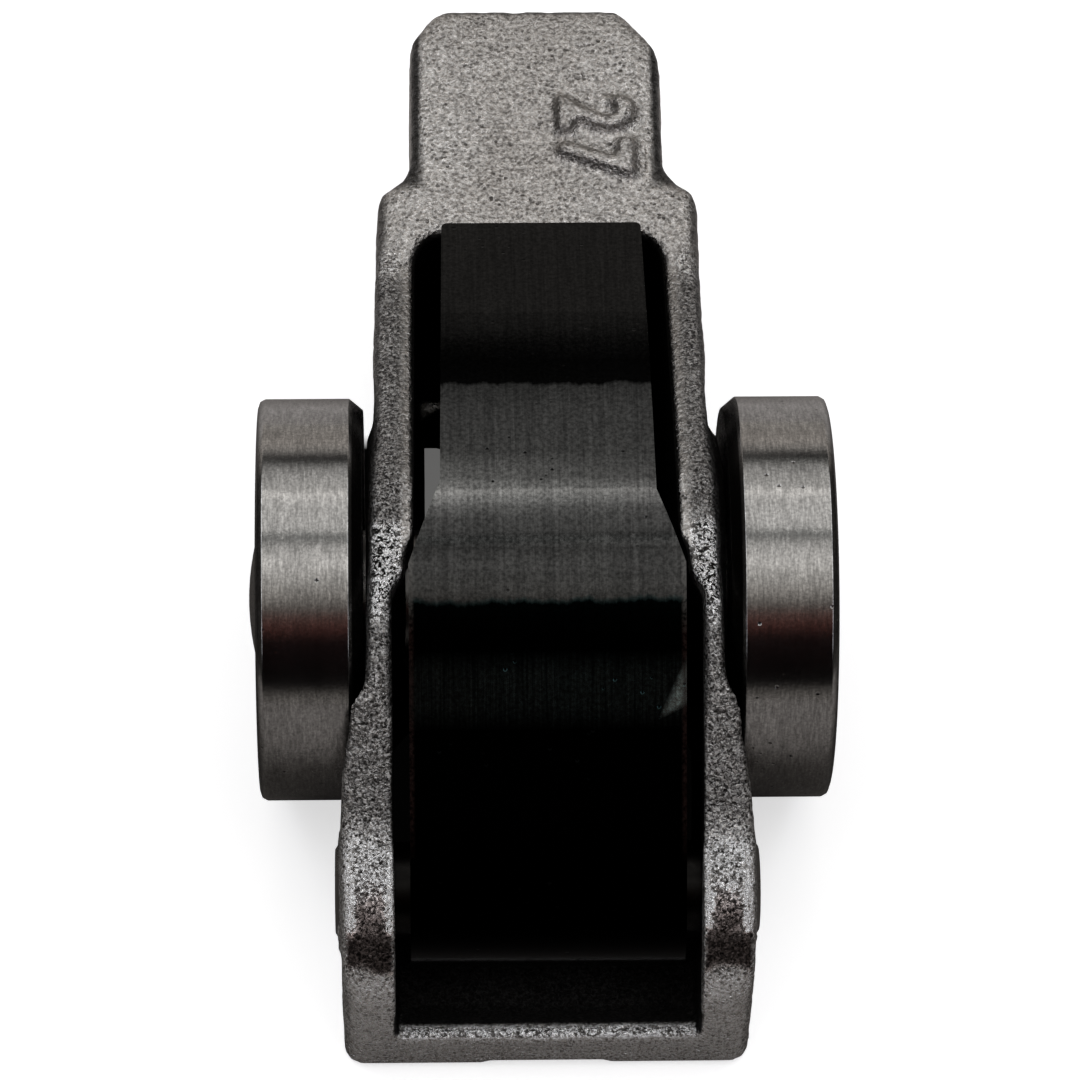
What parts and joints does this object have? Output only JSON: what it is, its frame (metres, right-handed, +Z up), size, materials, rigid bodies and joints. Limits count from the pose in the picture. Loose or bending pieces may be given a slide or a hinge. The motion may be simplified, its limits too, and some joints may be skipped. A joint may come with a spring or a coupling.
{
  "type": "rocker arm",
  "caption": "Two-step roller finger follower: a cast frame with outboard rollers, a coated centre arm on a cross pin, a latch pin and lost-motion springs.",
  "frame": {"origin": "centre of the lash-adjuster ball in its socket", "axes": "+X along the roller axle, +Y away from the valve end, +Z up to the camshaft"},
  "size_m": [0.0252, 0.0473, 0.0177],
  "materials": {
    "cast_body": "blasted cast steel, fine grain",
    "coated_arm": "black hard coating over ground steel",
    "pin_steel": "ground",
    "roller_steel": "ground and polished bearing steel",
    "washer_steel": "satin",
    "spring_steel": "oil-tempered wire"
  },
  "bodies": {
    "frame": {"follower_body": "cast_body", "pivot_pin": "pin_steel", "roller_axle": "pin_steel", "axle_washer_left": "washer_steel", "axle_washer_right": "washer_steel", "latch_bore_plug": "washer_steel", "plug_retaining_ring": "spring_steel", "spring_seat": "washer_steel", "lost_motion_spring_outer": "spring_steel", "lost_motion_spring_inner": "spring_steel", "latch_return_spring": "spring_steel"},
    "slider": {"slider_arm": "coated_arm"},
    "latch": {"latch_pin": "pin_steel"},
    "left_roller": {"roller_left": "roller_steel"},
    "right_roller": {"roller_right": "roller_steel"},
    "left_needles": {"needle_rollers_left": "roller_steel"},
    "right_needles": {"needle_rollers_right": "roller_steel"}
  },
  "joints": [
    {"name": "slider_pivot", "type": "hinge", "parent": "frame", "child": "slider", "pos_m": [0, -0.0365, 0.0048], "axis": [-1, 0, 0], "range_deg": [0, 13], "stiffness_Nm_per_rad": 0.3, "springref_deg": -5.73, "deforming": ["lost_motion_spring_outer", "lost_motion_spring_inner"]},
    {"name": "latch_slide", "type": "slide", "parent": "frame", "child": "latch", "axis": [0, -1, 0], "range_m": [0, 0.0025], "stiffness_N_per_m": 50, "springref_m": -0.001, "deforming": ["latch_return_spring"]},
    {"name": "roller_left_spin", "type": "hinge", "parent": "frame", "child": "left_roller", "pos_m": [0, -0.0236, 0.0074], "axis": [1, 0, 0], "continuous": true},
    {"name": "roller_right_spin", "type": "hinge", "parent": "frame", "child": "right_roller", "pos_m": [0, -0.0236, 0.0074], "axis": [1, 0, 0], "continuous": true},
    {"name": "needles_left_orbit", "type": "hinge", "parent": "frame", "child": "left_needles", "pos_m": [0, -0.0236, 0.0074], "axis": [1, 0, 0], "continuous": true},
    {"name": "needles_right_orbit", "type": "hinge", "parent": "frame", "child": "right_needles", "pos_m": [0, -0.0236, 0.0074], "axis": [1, 0, 0], "continuous": true}
  ],
  "couplings": [
    {"joint": "needles_left_orbit", "follows": "roller_left_spin", "ratio": 0.6},
    {"joint": "needles_right_orbit", "follows": "roller_right_spin", "ratio": 0.6}
  ]
}
